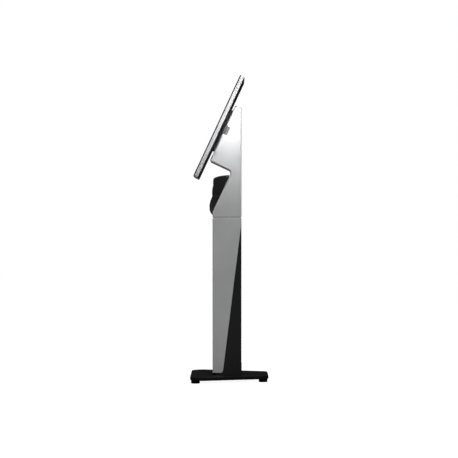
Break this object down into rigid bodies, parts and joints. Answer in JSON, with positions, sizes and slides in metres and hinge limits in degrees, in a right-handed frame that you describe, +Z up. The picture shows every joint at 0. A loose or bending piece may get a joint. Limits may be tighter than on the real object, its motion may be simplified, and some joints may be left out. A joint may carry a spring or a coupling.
{
  "type": "touchscreen kiosk",
  "caption": "Floor-standing kiosk: tilted portrait touchscreen on a slim column, receipt printer below it, lockable rear door, flat base on levelling feet.",
  "frame": {"origin": "centre of the base on the floor, under the middle of the bounding box", "axes": "+Z up; the front with the screen faces -Y; the user's right is +X"},
  "size_m": [0.3936, 0.364, 1.425],
  "materials": {
    "base_steel": "satin powder coat",
    "foot_rubber": "matte",
    "frame_steel": "black primer",
    "zinc_steel": "zinc plated",
    "black_sheet": "fine texture powder coat",
    "silver_sheet": "silver satin paint",
    "silver_chassis": "anodised satin",
    "port_plastic": "grey moulded",
    "screen_glass": "black printed cover glass",
    "screen_plastic": "fine grain",
    "display": "display stack",
    "circuit_board": "solder mask",
    "moulding": "moulded black",
    "printer_plastic": "fine grain",
    "platen_rubber": "ground",
    "print_metal": "machined",
    "paper": "thermal paper"
  },
  "bodies": {
    "root": {"base_plate": "base_steel", "cable_port_left": "port_plastic", "cable_port_right": "port_plastic", "column_cap": "silver_sheet", "column_core": "black_sheet", "column_cover": "silver_sheet", "column_flange": "frame_steel", "column_post": "frame_steel", "display_panel": "display", "door_pin_lower": "zinc_steel", "door_pin_upper": "zinc_steel", "fan_frame": "screen_plastic", "flange_bolt_1": "zinc_steel", "flange_bolt_2": "zinc_steel", "flange_bolt_3": "zinc_steel", "flange_bolt_4": "zinc_steel", "flap_pin": "zinc_steel", "head_rear_cover": "silver_sheet", "head_side_left": "silver_sheet", "head_side_right": "silver_sheet", "head_top_cap": "silver_sheet", "head_underside": "silver_sheet", "lid_pin": "zinc_steel", "main_board": "circuit_board", "mains_inlet": "moulding", "mount_block": "screen_plastic", "mount_gusset_left": "frame_steel", "mount_gusset_right": "frame_steel", "mount_plate": "frame_steel", "mount_screw_1": "zinc_steel", "mount_screw_2": "zinc_steel", "mount_screw_3": "zinc_steel", "mount_screw_4": "zinc_steel", "paper_spindle": "port_plastic", "power_brick": "moulding", "power_strip": "moulding", "print_head": "print_metal", "printer_base": "printer_plastic", "printer_body": "printer_plastic", "printer_shelf": "silver_sheet", "screen_bezel": "screen_plastic", "screen_chassis": "silver_chassis", "screen_glass": "screen_glass", "screen_rear_cover": "screen_plastic"},
    "foot_front_left_body": {"foot_front_left": "foot_rubber"},
    "foot_front_right_body": {"foot_front_right": "foot_rubber"},
    "foot_rear_left_body": {"foot_rear_left": "foot_rubber"},
    "foot_rear_right_body": {"foot_rear_right": "foot_rubber"},
    "door": {"rear_door": "black_sheet", "door_lock_sleeve": "zinc_steel"},
    "lock": {"door_lock_cam": "zinc_steel"},
    "switch": {"mains_switch": "moulding"},
    "lid": {"printer_lid": "printer_plastic"},
    "platen": {"platen_roller": "platen_rubber"},
    "roll": {"paper_roll": "paper"},
    "flap": {"printer_flap": "printer_plastic"},
    "feed": {"feed_button": "port_plastic"},
    "power": {"screen_button": "screen_plastic"},
    "fan": {"fan_rotor": "screen_plastic"}
  },
  "joints": [
    {"name": "foot_front_left_screw", "type": "slide", "parent": "root", "child": "foot_front_left_body", "axis": [0, 0, -1], "range_m": [0, 0.008]},
    {"name": "foot_front_right_screw", "type": "slide", "parent": "root", "child": "foot_front_right_body", "axis": [0, 0, -1], "range_m": [0, 0.008]},
    {"name": "foot_rear_left_screw", "type": "slide", "parent": "root", "child": "foot_rear_left_body", "axis": [0, 0, -1], "range_m": [0, 0.008]},
    {"name": "foot_rear_right_screw", "type": "slide", "parent": "root", "child": "foot_rear_right_body", "axis": [0, 0, -1], "range_m": [0, 0.008]},
    {"name": "door_hinge", "type": "hinge", "parent": "root", "child": "door", "pos_m": [0.0605, 0.052, 0.415], "axis": [0, 0, -1], "range_deg": [0, 95]},
    {"name": "lock_turn", "type": "hinge", "parent": "door", "child": "lock", "pos_m": [-0.05, 0.0555, 0.415], "axis": [0, 1, 0], "range_deg": [0, 90]},
    {"name": "switch_rock", "type": "hinge", "parent": "root", "child": "switch", "pos_m": [0.0145, 0.0502, 0.063], "axis": [1, 0, 0], "range_deg": [0, 11]},
    {"name": "lid_hinge", "type": "hinge", "parent": "root", "child": "lid", "pos_m": [0, -0.0115, 0.958], "axis": [-1, 0, 0], "range_deg": [0, 40]},
    {"name": "platen_spin", "type": "hinge", "parent": "lid", "child": "platen", "pos_m": [0, -0.0655, 0.9435], "axis": [1, 0, 0], "continuous": true},
    {"name": "roll_spin", "type": "hinge", "parent": "root", "child": "roll", "pos_m": [0, -0.0425, 0.932], "axis": [1, 0, 0], "continuous": true},
    {"name": "flap_hinge", "type": "hinge", "parent": "root", "child": "flap", "pos_m": [0, -0.0838, 0.7905], "axis": [1, 0, 0], "range_deg": [0, 55]},
    {"name": "feed_press", "type": "slide", "parent": "root", "child": "feed", "axis": [0, 1, 0], "range_m": [0, 0.0015], "stiffness_N_per_m": 600, "springref_m": -0.0008},
    {"name": "power_press", "type": "slide", "parent": "root", "child": "power", "axis": [0, 0.4226, 0.9063], "range_m": [0, 0.001], "stiffness_N_per_m": 600, "springref_m": -0.0008},
    {"name": "fan_spin", "type": "hinge", "parent": "root", "child": "fan", "pos_m": [0, 0.02533, 1.33225], "axis": [0, 0.9063, -0.4226], "continuous": true}
  ],
  "couplings": [
    {"joint": "roll_spin", "follows": "platen_spin", "ratio": -0.2439}
  ]
}
